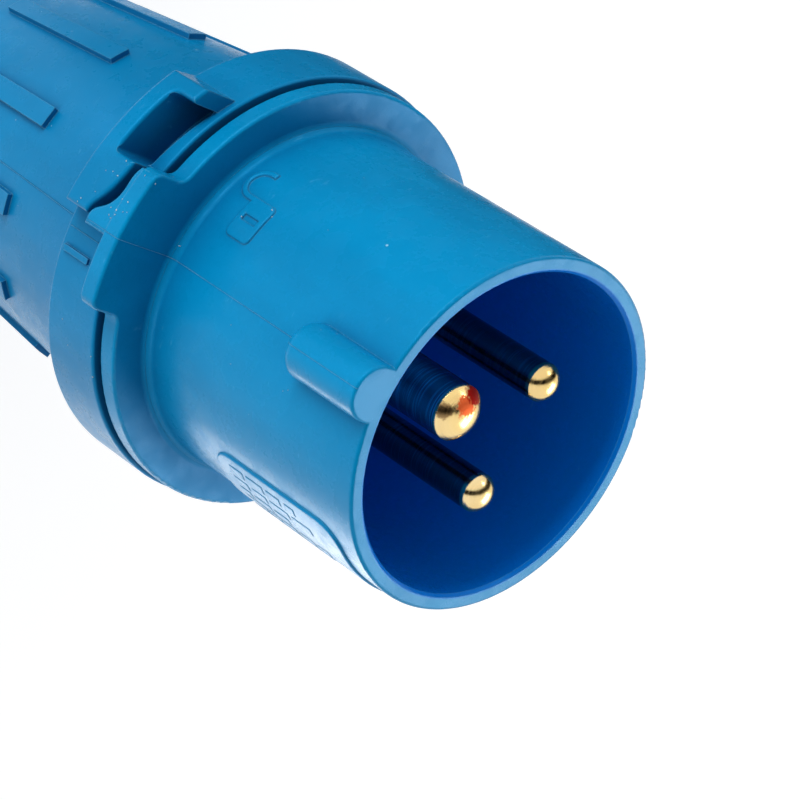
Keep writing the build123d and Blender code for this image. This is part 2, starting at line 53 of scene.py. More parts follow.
# Looks of an industrial pin and sleeve plug. Lengths are in millimetres in the part's own frame: the plug's
# axis is Z, z = 0 is the flange's front face and the key rib points to -Y. Blender's own unit is the metre.
MM = 0.001

# Sizes of the solids that the small pieces sit on
SHROUD_R = 23.2
SHROUD_BORE_R = 21.1
RIM_Z = 39.5
BASE_FILLET = 1.2
KEY_CREST_R = 27.4
KEY_REAR_Z = 26.2
KEY_REAR_ROUND = 1.6
KEY_FRONT_ROUND = 0.4
TAB_R = 32.9
FLANGE_ROUND = 0.4
FLANGE_BACK_Z = -2.8
NOSE_R = 32.8
NOSE_END_Z = -6.5
COLLAR_R = 28.9
COLLAR_FRONT_Z = -3.6
COLLAR_END_Z = -13.0
COLLAR_ROUND = 0.4
SHOULDER_R = 24.6
SHOULDER_END_Z = -17.0
HANDLE_END_R = 20.5
HANDLE_END_Z = -62.0
PANEL_R = 23.5
LINE_TIP_Z = 38.6
EARTH_TIP_Z = 40.8
TIP_BAND = 2.1

# The photograph's camera, in millimetres, degrees and pixels
CAMERA_AIM = (1.696, -8.51, 29.85)
CAMERA_AZIMUTH = -10.16
CAMERA_ELEVATION = 40.2
CAMERA_ROLL = 123.6
CAMERA_DISTANCE = 414.5
SENSOR_WIDTH = 36.0
FOCAL_LENGTH = 157.5
PHOTO_SIZE = 800


def metres(x, y, z):
    return Vector((x, y, z)) * MM


def key_point(radius, angle, z):
    """A point at a radius and at an angle from the key, counter-clockwise seen from the mouth."""
    turn = math.radians(angle - 90)
    return metres(radius * math.cos(turn), radius * math.sin(turn), z)


def camera_axes():
    """The photograph's right, up and towards-the-camera directions."""
    azimuth = math.radians(CAMERA_AZIMUTH)
    elevation = math.radians(CAMERA_ELEVATION)
    roll = math.radians(CAMERA_ROLL)
    level = math.cos(elevation)
    back = Vector((math.sin(azimuth) * level, -math.cos(azimuth) * level, math.sin(elevation)))
    level_right = Vector((math.cos(azimuth), math.sin(azimuth), 0))
    level_up = back.cross(level_right)
    right = level_right * math.cos(roll) + level_up * math.sin(roll)
    return right, back.cross(right), back


right, up, back = camera_axes()
aim = metres(*CAMERA_AIM)
camera_spot = aim + back * CAMERA_DISTANCE * MM
surface_trees = {}


def photo_spot(node, across, down):
    """Where a sight line of the photograph meets a solid, and the surface direction there."""
    if node not in surface_trees:
        mesh = frame["nodes"][node].data
        corners = [vertex.co for vertex in mesh.vertices]
        faces = [tuple(face.vertices) for face in mesh.polygons]
        surface_trees[node] = BVHTree.FromPolygons(corners, faces)
    spread = SENSOR_WIDTH / FOCAL_LENGTH / PHOTO_SIZE
    middle = PHOTO_SIZE / 2
    sight = right * (across - middle) * spread - up * (down - middle) * spread - back
    spot, direction, _, _ = surface_trees[node].ray_cast(camera_spot, sight.normalized())
    return spot, direction


# Shader helpers


def add(tree, kind, sockets=None, **settings):
    """A node with its settings; sockets holds input values by name or number."""
    node = tree.nodes.new(kind)
    for key, value in settings.items():
        setattr(node, key, value)
    for key, value in (sockets or {}).items():
        node.inputs[key].default_value = value
    return node


def feed(tree, socket, value):
    """Sets an input to a plain value or links an output to it."""
    if isinstance(value, bpy.types.NodeSocket):
        tree.links.new(value, socket)
    else:
        socket.default_value = value


def calculate(tree, operation, first, second=0.0):
    node = add(tree, "ShaderNodeMath", operation=operation)
    feed(tree, node.inputs[0], first)
    feed(tree, node.inputs[1], second)
    return node.outputs[0]


def scaled(tree, value, factor):
    return calculate(tree, "MULTIPLY", value, factor)


def total(tree, first, second):
    return calculate(tree, "ADD", first, second)


def fade(tree, value, low, high, to_low=0.0, to_high=1.0):
    """A smooth step of a value from one range to another."""
    node = add(tree, "ShaderNodeMapRange", interpolation_type="SMOOTHSTEP")
    names = ("Value", "From Min", "From Max", "To Min", "To Max")
    for name, entry in zip(names, (value, low, high, to_low, to_high)):
        feed(tree, node.inputs[name], entry)
    return node.outputs["Result"]


def blend_colour(tree, factor, first, second):
    node = add(tree, "ShaderNodeMix", data_type="RGBA")
    colours = [socket for socket in node.inputs if socket.type == "RGBA"]
    feed(tree, node.inputs["Factor"], factor)
    feed(tree, colours[0], first)
    feed(tree, colours[1], second)
    return [socket for socket in node.outputs if socket.type == "RGBA"][0]


def place_mm(tree, offset=(0, 0, 0), stretch=(1, 1, 1)):
    """The place on the part in millimetres, moved and stretched."""
    place = add(tree, "ShaderNodeTexCoord").outputs["Object"]
    scale = tuple(factor / MM for factor in stretch)
    shift = tuple(-step * factor for step, factor in zip(offset, stretch))
    mapping = add(tree, "ShaderNodeMapping", sockets={"Scale": scale, "Location": shift})
    tree.links.new(place, mapping.inputs["Vector"])
    return mapping.outputs["Vector"]


def noise(tree, vector, scale, detail=2.0, roughness=0.5):
    node = add(tree, "ShaderNodeTexNoise", sockets={"Detail": detail, "Roughness": roughness})
    feed(tree, node.inputs["Scale"], scale)
    tree.links.new(vector, node.inputs["Vector"])
    return node.outputs["Fac"]


def screen(red, green, blue):
    """A colour written as it shows on screen, 0 to 255, as the linear colour that nodes take."""
    def channel(value):
        value /= 255
        return value / 12.92 if value <= 0.04045 else ((value + 0.055) / 1.055) ** 2.4
    return (channel(red), channel(green), channel(blue), 1.0)


SOCKETS = {"value": "NodeSocketFloat", "vector": "NodeSocketVector"}


def new_group(name, takes, gives):
    """A node group; takes and gives are lists of (socket name, kind, start value)."""
    group = bpy.data.node_groups.new(name, "ShaderNodeTree")
    for label, kind, start in takes:
        group.interface.new_socket(label, in_out="INPUT", socket_type=SOCKETS[kind]).default_value = start
    for label, kind in gives:
        group.interface.new_socket(label, in_out="OUTPUT", socket_type=SOCKETS[kind])
    return group, group.nodes.new("NodeGroupInput").outputs, group.nodes.new("NodeGroupOutput").inputs


def use(tree, group, **values):
    """A group placed in a material with its own input values."""
    node = add(tree, "ShaderNodeGroup", node_tree=group)
    for name, value in values.items():
        node.inputs[name.replace("_", " ").capitalize()].default_value = value
    return node.outputs


# Effects that several finishes share


def moulded_skin_group():
    """Flow mottling, haze and fine mould grain of an injection moulding."""
    group, given, wanted = new_group(
        "moulded_skin", [("Grain", "value", 1.0), ("Sink", "value", 1.0)],
        [("Tone", "value"), ("Haze", "value"), ("Height", "value")])
    place = place_mm(group)
    flow = noise(group, place_mm(group, stretch=(1, 1, 0.35)), scale=0.09, detail=3.0, roughness=0.55)
    clouds = noise(group, place, scale=0.32, detail=4.0, roughness=0.6)
    pimples = noise(group, place, scale=7.0, detail=2.0, roughness=0.6)
    hollows = noise(group, place, scale=0.11, detail=1.0)
    feed(group, wanted["Tone"], fade(group, flow, 0.32, 0.68))
    feed(group, wanted["Haze"], fade(group, clouds, 0.3, 0.72))
    grain = scaled(group, pimples, given["Grain"])
    sink = scaled(group, hollows, given["Sink"])
    feed(group, wanted["Height"], total(group, grain, sink))
    return group


def soft_edges_group():
    """Rounds the look of sharp edges and marks them for lighter rubbed wear, which on the plastics is also a
    painted edge highlight.
    """
    group, given, wanted = new_group("soft_edges", [("Radius", "value", 0.0003)],
                                     [("Normal", "vector"), ("Edge", "value")])
    rounded = add(group, "ShaderNodeBevel", samples=3)
    feed(group, rounded.inputs["Radius"], given["Radius"])
    flat = add(group, "ShaderNodeNewGeometry").outputs["Normal"]
    facing = add(group, "ShaderNodeVectorMath", operation="DOT_PRODUCT")
    feed(group, facing.inputs[0], rounded.outputs["Normal"])
    feed(group, facing.inputs[1], flat)
    feed(group, wanted["Edge"], fade(group, facing.outputs["Value"], 0.985, 0.86))
    feed(group, wanted["Normal"], rounded.outputs["Normal"])
    return group


def painted_corner_shade_group():
    """Marks sheltered corners, where painted shade darkens the colour."""
    group, given, wanted = new_group("painted_corner_shade", [("Reach", "value", 0.012)], [("Mask", "value")])
    shelter = add(group, "ShaderNodeAmbientOcclusion", samples=6)
    feed(group, shelter.inputs["Distance"], given["Reach"])
    feed(group, wanted["Mask"], fade(group, shelter.outputs["AO"], 0.95, 0.35))
    return group


def dust_group():
    """Sparse pale specks in drifts."""
    group, given, wanted = new_group("dust", [("Density", "value", 0.5), ("Speck", "value", 0.1)],
                                     [("Mask", "value")])
    place = place_mm(group)
    cells = add(group, "ShaderNodeTexVoronoi", sockets={"Scale": 0.55, "Randomness": 1.0})
    feed(group, cells.inputs["Vector"], place)
    pick = add(group, "ShaderNodeSeparateColor")
    feed(group, pick.inputs["Color"], cells.outputs["Color"])
    reach = scaled(group, pick.outputs["Green"], given["Speck"])
    dot = calculate(group, "LESS_THAN", cells.outputs["Distance"], reach)
    chosen = calculate(group, "LESS_THAN", pick.outputs["Red"], given["Density"])
    drift = fade(group, noise(group, place, scale=0.12), 0.42, 0.62)
    speck = scaled(group, dot, chosen)
    feed(group, wanted["Mask"], scaled(group, speck, drift))
    return group


def scuff_group():
    """Short rubbed marks round the part, that read as haze and a shallow dent."""
    group, given, wanted = new_group("scuffs", [("Amount", "value", 0.5)], [("Mask", "value")])
    streak = noise(group, place_mm(group, stretch=(0.5, 0.5, 1.7)), scale=0.9, detail=3.0, roughness=0.65)
    patch = noise(group, place_mm(group, offset=(7, 3, 1)), scale=0.16)
    mark = scaled(group, fade(group, streak, 0.62, 0.74), fade(group, patch, 0.5, 0.64))
    feed(group, wanted["Mask"], scaled(group, mark, given["Amount"]))
    return group


moulded_skin = moulded_skin_group()
soft_edges = soft_edges_group()
painted_corner_shade = painted_corner_shade_group()
dust = dust_group()
scuffs = scuff_group()
DUST_COLOUR = screen(150, 196, 222)


def new_material(name, roughness=None, **fixed):
    """A material with its Principled shader; fixed values go on the shader's own sockets."""
    material = bpy.data.materials.new(name)
    material.use_nodes = True
    tree = material.node_tree
    shader = tree.nodes["Principled BSDF"].inputs
    if roughness is not None:
        shader["Roughness"].default_value = roughness
    for key, value in fixed.items():
        shader[key.replace("_", " ")].default_value = value
    return material, tree, shader


def bump(tree, height, distance, normal=None):
    node = add(tree, "ShaderNodeBump", sockets={"Distance": distance * MM, "Strength": 1.0})
    feed(tree, node.inputs["Height"], height)
    if normal is not None:
        feed(tree, node.inputs["Normal"], normal)
    return node.outputs["Normal"]


def inside_mask(tree, radius):
    """1 inside a cylinder about the plug's axis and 0 outside it."""
    spot = add(tree, "ShaderNodeSeparateXYZ")
    tree.links.new(place_mm(tree), spot.inputs[0])
    squares = total(tree, calculate(tree, "POWER", spot.outputs["X"], 2.0),
                    calculate(tree, "POWER", spot.outputs["Y"], 2.0))
    soft = 0.2
    return fade(tree, calculate(tree, "SQRT", squares), radius + soft, radius - soft)


# Moulded plastic: lengths in millimetres, then how strongly each mark shows
EDGE_ROUND = 0.22
# Painted shade in corners: how far it reaches and how deeply it darkens
PAINTED_SHADE_REACH = 12.0
PAINTED_SHADE_DEPTH = 0.62
CORNER_DULL = 0.35
SCUFF_PALE = 0.35
SCUFF_DULL = 0.25
SCUFF_DENT = 0.6
DUST_DULL = 0.4
HAZE_CLEAR = 0.05
HAZE_DULL = 0.07


def moulded_plastic(name, tones, sheen, gloss, grain_depth, wear_and_highlight, specks, speck_size, painted_bounce=None):
    """Injection-moulded plastic: mottled colour, lighter rubbed edges that are also a painted edge
    highlight, scuffs, specks of dust and painted shade in sheltered corners.

    tones are the colours of the deep and light mottling, of rubbed places and painted edge highlights, and
    of the painted shade in sheltered corners.
    The last argument gives the radius and colour of a deeper blue painted inside the bore, as painted bounce
    light that deepens the colour there.
    """
    deep, light, rubbed_and_highlight, corner = tones
    material, tree, shader = new_material(name, Specular_Tint=sheen)
    skin = use(tree, moulded_skin, grain=0.35, sink=1.0)
    edges = use(tree, soft_edges, radius=EDGE_ROUND * MM)
    marks = use(tree, scuffs, amount=wear_and_highlight)
    flecks = use(tree, dust, density=specks, speck=speck_size)
    colour = blend_colour(tree, skin["Tone"], deep, light)
    shade = use(tree, painted_corner_shade, reach=PAINTED_SHADE_REACH * MM)
    # Painted shade: the colour darkens towards the last tone in sheltered corners
    colour = blend_colour(tree, scaled(tree, shade["Mask"], PAINTED_SHADE_DEPTH), colour, corner)
    # Painted bounce light: a deeper blue inside the bore
    if painted_bounce:
        bounce_r, painted_bounce_colour = painted_bounce
        colour = blend_colour(tree, inside_mask(tree, bounce_r), colour, painted_bounce_colour)
    # Lighter edges: rubbed wear together with a painted edge highlight
    colour = blend_colour(tree, scaled(tree, edges["Edge"], wear_and_highlight), colour, rubbed_and_highlight)
    colour = blend_colour(tree, scaled(tree, marks["Mask"], SCUFF_PALE), colour, rubbed_and_highlight)
    feed(tree, shader["Base Color"], blend_colour(tree, flecks["Mask"], colour, DUST_COLOUR))
    haze = fade(tree, skin["Haze"], 0.0, 1.0, gloss - HAZE_CLEAR, gloss + HAZE_DULL)
    haze = total(tree, haze, scaled(tree, marks["Mask"], SCUFF_DULL))
    haze = total(tree, haze, scaled(tree, shade["Mask"], CORNER_DULL))
    feed(tree, shader["Roughness"], total(tree, haze, scaled(tree, flecks["Mask"], DUST_DULL)))
    lift = calculate(tree, "SUBTRACT", skin["Height"], scaled(tree, marks["Mask"], SCUFF_DENT))
    lift = total(tree, lift, flecks["Mask"])
    feed(tree, shader["Normal"], bump(tree, lift, grain_depth, edges["Normal"]))
    return material


BLUE_SHEEN = (0.05, 0.45, 0.9, 1.0)
GREY_SHEEN = (0.8, 0.82, 0.85, 1.0)
# Tones: deep and light mottling, rubbed places that also carry a painted edge highlight, and painted shade
# for corners
BLUE_PAINTED_SHADE = screen(0, 36, 98)
SHROUD_TONES = (screen(0, 130, 184), screen(0, 140, 196), screen(104, 194, 230), BLUE_PAINTED_SHADE)
HOUSING_TONES = (screen(0, 121, 174), screen(0, 131, 187), screen(110, 190, 226), BLUE_PAINTED_SHADE)
FLASH_TONES = (screen(14, 138, 196), screen(44, 154, 208), screen(120, 190, 224), BLUE_PAINTED_SHADE)
GREY_TONES = (screen(108, 110, 113), screen(124, 126, 129), screen(160, 162, 165), screen(70, 72, 75))
LINT_TONES = (screen(168, 200, 220), screen(214, 228, 238), screen(235, 240, 245), screen(140, 170, 190))
# Painted bounce light: the deeper blue of light bouncing between the bore's walls
SHROUD_PAINTED_BOUNCE = (SHROUD_BORE_R + 0.5, screen(0, 120, 224))
shroud_blue = moulded_plastic("shroud_blue", SHROUD_TONES, BLUE_SHEEN, gloss=0.27, grain_depth=0.03,
                              wear_and_highlight=0.5, specks=0.12, speck_size=0.1, painted_bounce=SHROUD_PAINTED_BOUNCE)
housing_blue = moulded_plastic("housing_blue", HOUSING_TONES, BLUE_SHEEN, gloss=0.3, grain_depth=0.035,
                               wear_and_highlight=0.6, specks=0.16, speck_size=0.11)
flash_blue = moulded_plastic("flash_blue", FLASH_TONES, BLUE_SHEEN, gloss=0.6, grain_depth=0.03,
                             wear_and_highlight=0.6, specks=0.1, speck_size=0.1)
insulator_grey = moulded_plastic("insulator_grey", GREY_TONES, GREY_SHEEN, gloss=0.5, grain_depth=0.06,
                                 wear_and_highlight=0.5, specks=0.3, speck_size=0.15)
lint_white = moulded_plastic("lint_white", LINT_TONES, GREY_SHEEN, gloss=0.6, grain_depth=0.05,
                             wear_and_highlight=0.3, specks=0.1, speck_size=0.1)


def rubber_material():
    """Black seal rubber with a bloom and a matt, pimpled skin."""
    material, tree, shader = new_material("seal_rubber")
    flecks = use(tree, dust, density=0.6, speck=0.2)
    skin = use(tree, moulded_skin, grain=1.0, sink=0.4)
    colour = blend_colour(tree, skin["Tone"], screen(26, 26, 28), screen(44, 44, 46))
    feed(tree, shader["Base Color"], blend_colour(tree, flecks["Mask"], colour, screen(150, 152, 155)))
    feed(tree, shader["Roughness"], fade(tree, skin["Haze"], 0.0, 1.0, 0.55, 0.75))
    feed(tree, shader["Normal"], bump(tree, skin["Height"], 0.06))
    return material


def steel_material():
    """Zinc-plated screw steel with a faint passivation tint."""
    material, tree, shader = new_material("screw_steel", Metallic=1.0)
    edges = use(tree, soft_edges, radius=0.12 * MM)
    skin = use(tree, moulded_skin, grain=0.5, sink=0.2)
    colour = blend_colour(tree, skin["Tone"], screen(176, 180, 184), screen(205, 202, 188))
    feed(tree, shader["Base Color"], blend_colour(tree, edges["Edge"], colour, screen(228, 228, 226)))
    feed(tree, shader["Roughness"], fade(tree, skin["Haze"], 0.0, 1.0, 0.24, 0.42))
    feed(tree, shader["Normal"], bump(tree, skin["Height"], 0.02, edges["Normal"]))
    return material


def turned_lines_group():
    """Tool lines round a turned pin, by height, broken up a little along each turn."""
    group, given, wanted = new_group("turned_lines", [("Pitch", "value", 6.0)],
                                     [("Line", "value"), ("Band", "value")])
    fine_place = place_mm(group, stretch=(0.02, 0.02, 1.0))
    band_place = place_mm(group, stretch=(0.05, 0.05, 1.0))
    fine = noise(group, fine_place, given["Pitch"], detail=3.0, roughness=0.7)
    band = noise(group, band_place, scale=0.7)
    feed(group, wanted["Line"], fine)
    feed(group, wanted["Band"], fade(group, band, 0.38, 0.62))
    return group


def bright_tip_group():
    """1 on a pin's tip, above a height on the part, and 0 on the shaft below it."""
    group, given, wanted = new_group("bright_tip", [("Level", "value", 36.0)], [("Mask", "value")])
    spot = add(group, "ShaderNodeSeparateXYZ")
    feed(group, spot.inputs[0], place_mm(group))
    height = calculate(group, "SUBTRACT", spot.outputs["Z"], given["Level"])
    soft = 0.15
    feed(group, wanted["Mask"], fade(group, height, -soft, soft))
    return group


turned_lines = turned_lines_group()
bright_tip = bright_tip_group()
BRASS_DEEP = screen(246, 213, 140)
BRASS_PALE = screen(255, 233, 184)
BRASS_BAND = screen(206, 164, 96)
BRASS_EDGE = screen(250, 226, 170)
SMUDGE_BROWN = screen(96, 58, 34)
STAIN_ORANGE = screen(222, 76, 26)
STAIN_RED = screen(168, 24, 12)

# Places in the photograph of the marks on the earth pin's tip
SMUDGE_PIXEL = (444, 411)
STAIN_ORANGE_PIXEL = (467, 406)
STAIN_RED_PIXEL = (474.5, 394.5)


def blotch(tree, pixel, reach, ragged, grain):
    """A blotch with a ragged outline round a place on the earth pin."""
    centre = photo_spot("earth_pin", *pixel)[0] / MM
    away = add(tree, "ShaderNodeVectorMath", operation="LENGTH")
    tree.links.new(place_mm(tree, offset=tuple(centre)), away.inputs[0])
    waver = noise(tree, place_mm(tree), grain, detail=4.0, roughness=0.7)
    uneven = calculate(tree, "SUBTRACT", waver, 0.5)
    edge = total(tree, away.outputs["Value"], scaled(tree, uneven, ragged))
    soft = 0.25
    return fade(tree, edge, reach + soft, reach - soft)


def brass_material(name, line_depth, polish, tip_z=None, shaft_painted_shade_tones=None, stained=False):
    """Turned brass: tool lines, a bright tip on a shaft coloured darker as painted shade, and on the earth
    pin a stain and a smudge.
    """
    material, tree, shader = new_material(name, Metallic=1.0)
    edges = use(tree, soft_edges, radius=0.15 * MM)
    lines = use(tree, turned_lines, pitch=5.0)
    skin = use(tree, moulded_skin, grain=0.3, sink=0.3)
    colour = blend_colour(tree, skin["Tone"], BRASS_DEEP, BRASS_PALE)
    colour = blend_colour(tree, scaled(tree, lines["Band"], 0.2), colour, BRASS_BAND)
    rough = fade(tree, lines["Line"], 0.3, 0.7, polish, polish + 0.12)
    if tip_z:
        # Painted shade: the shaft below the tip takes darker, greyer colours, as if in shadow inside the
        # shroud
        shaft_painted_shade = blend_colour(tree, fade(tree, lines["Line"], 0.5, 0.7), *shaft_painted_shade_tones)
        tip = use(tree, bright_tip, level=tip_z - TIP_BAND)
        colour = blend_colour(tree, tip["Mask"], shaft_painted_shade, colour)
    if stained:
        smudge = blotch(tree, SMUDGE_PIXEL, reach=1.0, ragged=1.2, grain=1.4)
        colour = blend_colour(tree, scaled(tree, smudge, 0.75), colour, SMUDGE_BROWN)
        orange = blotch(tree, STAIN_ORANGE_PIXEL, reach=1.3, ragged=2.6, grain=2.6)
        colour = blend_colour(tree, scaled(tree, orange, 0.9), colour, STAIN_ORANGE)
        red = blotch(tree, STAIN_RED_PIXEL, reach=1.3, ragged=2.2, grain=2.6)
        colour = blend_colour(tree, red, colour, STAIN_RED)
        stain = calculate(tree, "MAXIMUM", orange, red)
        rough = total(tree, rough, scaled(tree, stain, 0.3))
    colour = blend_colour(tree, scaled(tree, edges["Edge"], 0.4), colour, BRASS_EDGE)
    feed(tree, shader["Base Color"], colour)
    feed(tree, shader["Roughness"], rough)
    feed(tree, shader["Normal"], bump(tree, lines["Line"], line_depth, edges["Normal"]))
    return material


seal_rubber = rubber_material()
screw_steel = steel_material()
# Shaft colours, greyer and darker than the brass tips: painted shade for the shafts inside the shroud
PIN_SHAFT_PAINTED_SHADE = (screen(112, 112, 110), screen(148, 148, 144))
EARTH_SHAFT_PAINTED_SHADE = (screen(132, 134, 132), screen(232, 232, 226))
pin_brass = brass_material("pin_brass", line_depth=0.012, polish=0.12, tip_z=LINE_TIP_Z,
                           shaft_painted_shade_tones=PIN_SHAFT_PAINTED_SHADE)
earth_brass = brass_material("earth_brass", line_depth=0.03, polish=0.14, tip_z=EARTH_TIP_Z,
                             shaft_painted_shade_tones=EARTH_SHAFT_PAINTED_SHADE, stained=True)
pad_brass = brass_material("pad_brass", line_depth=0.02, polish=0.28)

FINISHES = {
    "shroud_blue": shroud_blue, "housing_blue": housing_blue, "insulator_grey": insulator_grey,
    "seal_rubber": seal_rubber, "pin_brass": pin_brass, "pad_brass": pad_brass, "screw_steel": screw_steel,
}
for part in frame["record"]["subparts"]:
    mesh = frame["nodes"][part["node"]].data
    mesh.materials.clear()
    mesh.materials.append(earth_brass if part["node"] == "earth_pin" else FINISHES[part["material_slot"]])


# Small pieces in mesh code


def new_piece(name, points, faces, material, body, smooth=True):
    """A mesh piece, in metres, that rides on a body and takes a finish."""
    mesh = bpy.data.meshes.new(name)
    mesh.from_pydata([tuple(point) for point in points], [], faces)
    mesh.validate()
    mesh.update()
    mesh.polygons.foreach_set("use_smooth", [smooth] * len(mesh.polygons))
    mesh.materials.append(material)
    piece = bpy.data.objects.new(name, mesh)
    bpy.context.scene.collection.objects.link(piece)
    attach(piece, body)
    return piece


def bead_mesh(path, sideways, radii, sides=8):
    """A round bead along a path in one plane, with closed ends. sideways is the plane's normal."""
    points = []
    faces = []
    last = len(path) - 1
    for index, spot in enumerate(path):
        along = (path[min(index + 1, last)] - path[max(index - 1, 0)]).normalized()
        outward = sideways.cross(along)
        for side in range(sides):
            turn = 2 * math.pi * side / sides
            points.append(spot + (sideways * math.cos(turn) + outward * math.sin(turn)) * radii[index])
    for index in range(last):
        for side in range(sides):
            following = (side + 1) % sides
            faces.append((index * sides + side, index * sides + following,
                          (index + 1) * sides + following, (index + 1) * sides + side))
    faces.append(tuple(reversed(range(sides))))
    faces.append(tuple(range(last * sides, (last + 1) * sides)))
    return points, faces


def arc(centre_r, centre_z, radius, start, end, steps=6):
    """Places (r, z) on an arc in the plane through the axis, by angle from outward towards the mouth."""
    turns = [math.radians(start + (end - start) * step / steps) for step in range(steps + 1)]
    return [(centre_r + radius * math.cos(turn), centre_z + radius * math.sin(turn)) for turn in turns]


def run(first, last, spacing=0.8):
    """Places along a straight run, so that the bead can waver."""
    length = math.dist(first, last)
    count = max(1, round(length / spacing))
    (r, z), (last_r, last_z) = first, last
    return [(r + (last_r - r) * step / count, z + (last_z - z) * step / count) for step in range(count + 1)]


def seam_piece(name, profile, angle, radius, body, material, seed):
    """A parting line: a fine bead on a profile (r, z) at an angle from the key, a little uneven in width."""
    draw = random.Random(seed)
    path = [key_point(r, angle, z) for r, z in profile]
    radii = [radius * MM * draw.uniform(0.8, 1.2) for _ in path]
    tip_share = 0.4
    radii[0] = radii[-1] = radius * MM * tip_share
    points, faces = bead_mesh(path, key_point(1, angle + 90, 0).normalized(), radii)
    return new_piece(name, points, faces, material, body)


# How far a stretch of a seam stops short of a corner
GAP = 0.3
SMALL_GAP = 0.2
TIGHT_GAP = 0.1
WIDE_GAP = 0.5
RIM_GAP = 1.0
FRONT_SEAM = (
    run((NOSE_R, NOSE_END_Z), (NOSE_R, FLANGE_BACK_Z - TIGHT_GAP))
    + run((TAB_R, FLANGE_BACK_Z + GAP), (TAB_R, -FLANGE_ROUND))
    + arc(TAB_R - FLANGE_ROUND, -FLANGE_ROUND, FLANGE_ROUND, 0, 90)
    + run((TAB_R - FLANGE_ROUND - GAP, 0), (SHROUD_R + BASE_FILLET + SMALL_GAP, 0))
    + arc(SHROUD_R + BASE_FILLET, BASE_FILLET, BASE_FILLET, 270, 180)
    + run((SHROUD_R, BASE_FILLET + GAP), (SHROUD_R, KEY_REAR_Z - SMALL_GAP))
)
KEY_SEAM = (
    run((SHROUD_R + GAP, KEY_REAR_Z), (KEY_CREST_R - KEY_REAR_ROUND, KEY_REAR_Z))
    + arc(KEY_CREST_R - KEY_REAR_ROUND, KEY_REAR_Z + KEY_REAR_ROUND, KEY_REAR_ROUND, 270, 360)
    + run((KEY_CREST_R, KEY_REAR_Z + KEY_REAR_ROUND + GAP), (KEY_CREST_R, RIM_Z - KEY_FRONT_ROUND - GAP))
    + arc(KEY_CREST_R - KEY_FRONT_ROUND, RIM_Z - KEY_FRONT_ROUND, KEY_FRONT_ROUND, 0, 70)
)
REAR_SHROUD_SEAM = run((SHROUD_R, BASE_FILLET + GAP), (SHROUD_R, RIM_Z - RIM_GAP))
HANDLE_SEAM = (
    run((COLLAR_R, COLLAR_FRONT_Z - COLLAR_ROUND), (COLLAR_R, COLLAR_END_Z + COLLAR_ROUND))
    + run((COLLAR_R - WIDE_GAP, COLLAR_END_Z - COLLAR_ROUND), (SHOULDER_R, SHOULDER_END_Z))
    + run((SHOULDER_R, SHOULDER_END_Z - WIDE_GAP), (HANDLE_END_R, HANDLE_END_Z + GAP), spacing=2.0)
)
SEAM_BEAD = 0.055
HANDLE_BEAD = 0.07
HANDLE_SEAM_ANGLE = 5.0
seam_piece("parting_line", FRONT_SEAM, 0, SEAM_BEAD, "front", flash_blue, 11)
seam_piece("key_parting_line", KEY_SEAM, 0, SEAM_BEAD, "front", flash_blue, 12)
seam_piece("shroud_rear_parting_line", REAR_SHROUD_SEAM, 180, SEAM_BEAD, "front",
           flash_blue, 13)
seam_piece("handle_parting_line", HANDLE_SEAM, HANDLE_SEAM_ANGLE, HANDLE_BEAD, "rear",
           housing_blue, 14)
seam_piece("handle_rear_parting_line", HANDLE_SEAM, HANDLE_SEAM_ANGLE + 180, HANDLE_BEAD, "rear",
           housing_blue, 15)


def witness_ring():
    """The mould's witness line round the foot of the shroud's fillet."""
    inset = 0.65
    bead_r = 0.025
    ring_r = SHROUD_R + BASE_FILLET - inset
    ring_z = BASE_FILLET - math.sqrt(BASE_FILLET ** 2 - inset ** 2)
    steps = 180
    sides = 6
    draw = random.Random(21)
    points = []
    for step in range(steps):
        angle = 360 * step / steps
        bead = bead_r * draw.uniform(0.7, 1.3)
        for side in range(sides):
            turn = 2 * math.pi * side / sides
            points.append(key_point(ring_r + bead * math.cos(turn), angle, ring_z + bead * math.sin(turn)))
    faces = []
    for step in range(steps):
        following = (step + 1) % steps
        for side in range(sides):
            beside = (side + 1) % sides
            faces.append((step * sides + side, following * sides + side, following * sides + beside,
                          step * sides + beside))
    return new_piece("witness_ring", points, faces, shroud_blue, "front")


def gate_flash():
    """Rough torn flash on the nose's end, where the runner was broken off."""
    draw = random.Random(31)
    rows = 14
    columns = 5
    low_z = NOSE_END_Z + SMALL_GAP
    high_z = FLANGE_BACK_Z - GAP
    start_angle = 0.98
    sweep = 0.55
    slope = 0.22
    sunk = 0.06
    lowest = 0.03
    highest = 0.16
    jitter = 0.06
    points = []
    for row in range(rows):
        z = low_z + (high_z - low_z) * (row / (rows - 1))
        for column in range(columns):
            edge = row in (0, rows - 1) or column in (0, columns - 1)
            lift = -sunk if edge else draw.uniform(lowest, highest)
            share = column / (columns - 1)
            radius = NOSE_R - slope * (1 - share) + lift
            points.append(key_point(radius, start_angle - sweep * share, z + draw.uniform(-jitter, jitter)))
    faces = []
    for row in range(rows - 1):
        for column in range(columns - 1):
            start = row * columns + column
            faces.append((start, start + 1, start + columns + 1, start + columns))
    return new_piece("gate_flash", points, faces, flash_blue, "front", smooth=False)


